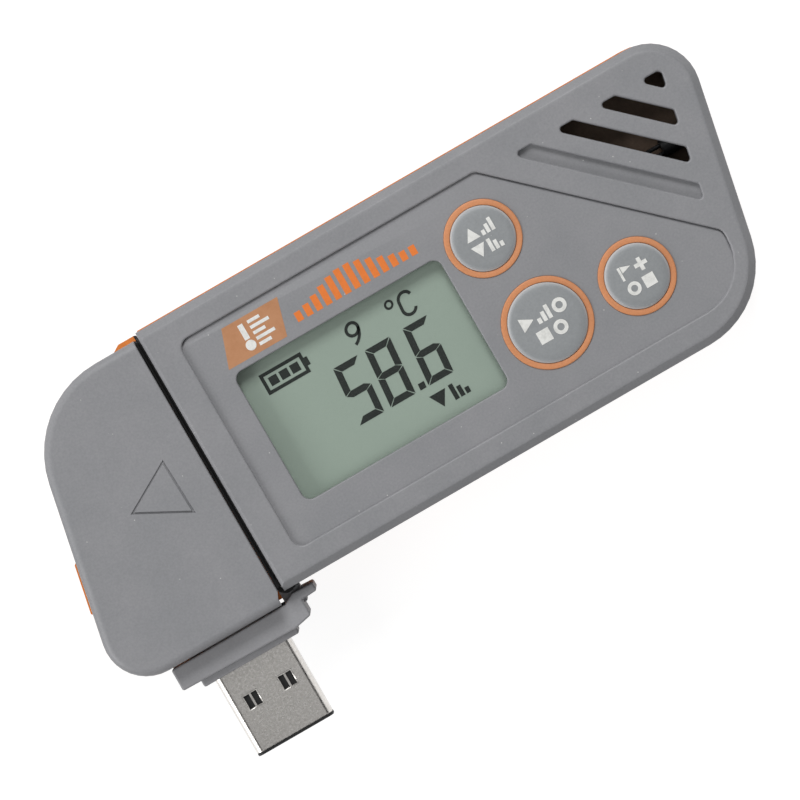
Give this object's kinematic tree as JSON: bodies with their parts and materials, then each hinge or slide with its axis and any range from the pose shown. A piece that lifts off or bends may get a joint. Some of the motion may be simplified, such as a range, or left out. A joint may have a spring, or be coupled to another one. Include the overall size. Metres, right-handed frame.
{
  "type": "temperature data logger",
  "caption": "Flat pocket temperature logger with a display, three sprung buttons, air vents, a pull-off cap and a USB plug that folds out by a quarter turn.",
  "frame": {"origin": "on the flat rear face, on the long centre line of the case, 26.8 mm from the case's cap end", "axes": "+X along the case from the cap to the vents, +Y to the upper long side away from the unfolded plug, +Z from the rear face to the front face"},
  "size_m": [0.1101, 0.0595, 0.0173],
  "materials": {
    "grey_shell": "moulded ABS, fine satin texture",
    "orange_shell": "moulded ABS, satin",
    "carrier_grey": "moulded ABS, satin",
    "button_grey": "silicone rubber, matt",
    "orange_rubber": "silicone rubber, matt",
    "black_plastic": "moulded polyamide, matt",
    "black_rubber": "sealing rubber",
    "clear_lens": "clear acrylic",
    "lcd_glass": "display glass with grey-green polariser",
    "plug_steel": "nickel-plated steel, matt rolled",
    "screw_steel": "zinc-plated steel",
    "cell_can": "nickel-plated can",
    "contact_metal": "gold-plated spring bronze",
    "board": "glass-epoxy with green solder mask",
    "chip_black": "moulded epoxy",
    "strip_rubber": "conductive rubber strip",
    "blank_plate": "brushed, bare"
  },
  "bodies": {
    "case": {"front_shell": "grey_shell", "rear_shell": "orange_shell", "case_seal": "black_rubber", "case_screws": "screw_steel", "display_lens": "clear_lens", "lcd_panel": "lcd_glass", "lcd_frame": "black_plastic", "lcd_connectors": "strip_rubber", "circuit_board": "board", "processor_chip": "chip_black", "memory_chip": "chip_black", "clock_crystal": "screw_steel", "dome_switches": "contact_metal", "keypad_mat": "orange_rubber", "coin_cell": "cell_can", "cell_contact_top": "contact_metal", "cell_contact_side": "contact_metal", "rear_plate": "blank_plate", "temperature_sensor": "chip_black", "end_plate": "black_plastic", "hinge_pin": "screw_steel"},
    "battery_hatch": {"battery_door": "black_plastic", "battery_door_seal": "black_rubber"},
    "select_key": {"select_button": "button_grey"},
    "start_key": {"start_button": "button_grey"},
    "mark_key": {"mark_button": "button_grey"},
    "usb_plug": {"usb_carrier": "carrier_grey", "usb_shell": "plug_steel", "usb_insulator": "black_plastic", "usb_contacts": "contact_metal", "usb_board": "board"},
    "cap": {"cap_front": "grey_shell", "cap_rear": "orange_shell", "cap_screws": "screw_steel", "cap_spring": "screw_steel"}
  },
  "joints": [
    {"name": "cap_slide", "type": "slide", "parent": "case", "child": "cap", "axis": [-1, 0, 0], "range_m": [0, 0.02]},
    {"name": "usb_fold", "type": "hinge", "parent": "case", "child": "usb_plug", "pos_m": [-0.0263, -0.0195, 0.0085], "axis": [0, 0, -1], "range_deg": [0, 90]},
    {"name": "select_press", "type": "slide", "parent": "case", "child": "select_key", "axis": [0, 0, -1], "range_m": [0, 0.0006], "stiffness_N_per_m": 800, "springref_m": -0.0003},
    {"name": "start_press", "type": "slide", "parent": "case", "child": "start_key", "axis": [0, 0, -1], "range_m": [0, 0.0006], "stiffness_N_per_m": 800, "springref_m": -0.0003},
    {"name": "mark_press", "type": "slide", "parent": "case", "child": "mark_key", "axis": [0, 0, -1], "range_m": [0, 0.0006], "stiffness_N_per_m": 800, "springref_m": -0.0003},
    {"name": "hatch_turn", "type": "hinge", "parent": "case", "child": "battery_hatch", "pos_m": [0.01901, 0, 0], "axis": [0, 0, -1], "range_deg": [0, 35]}
  ]
}
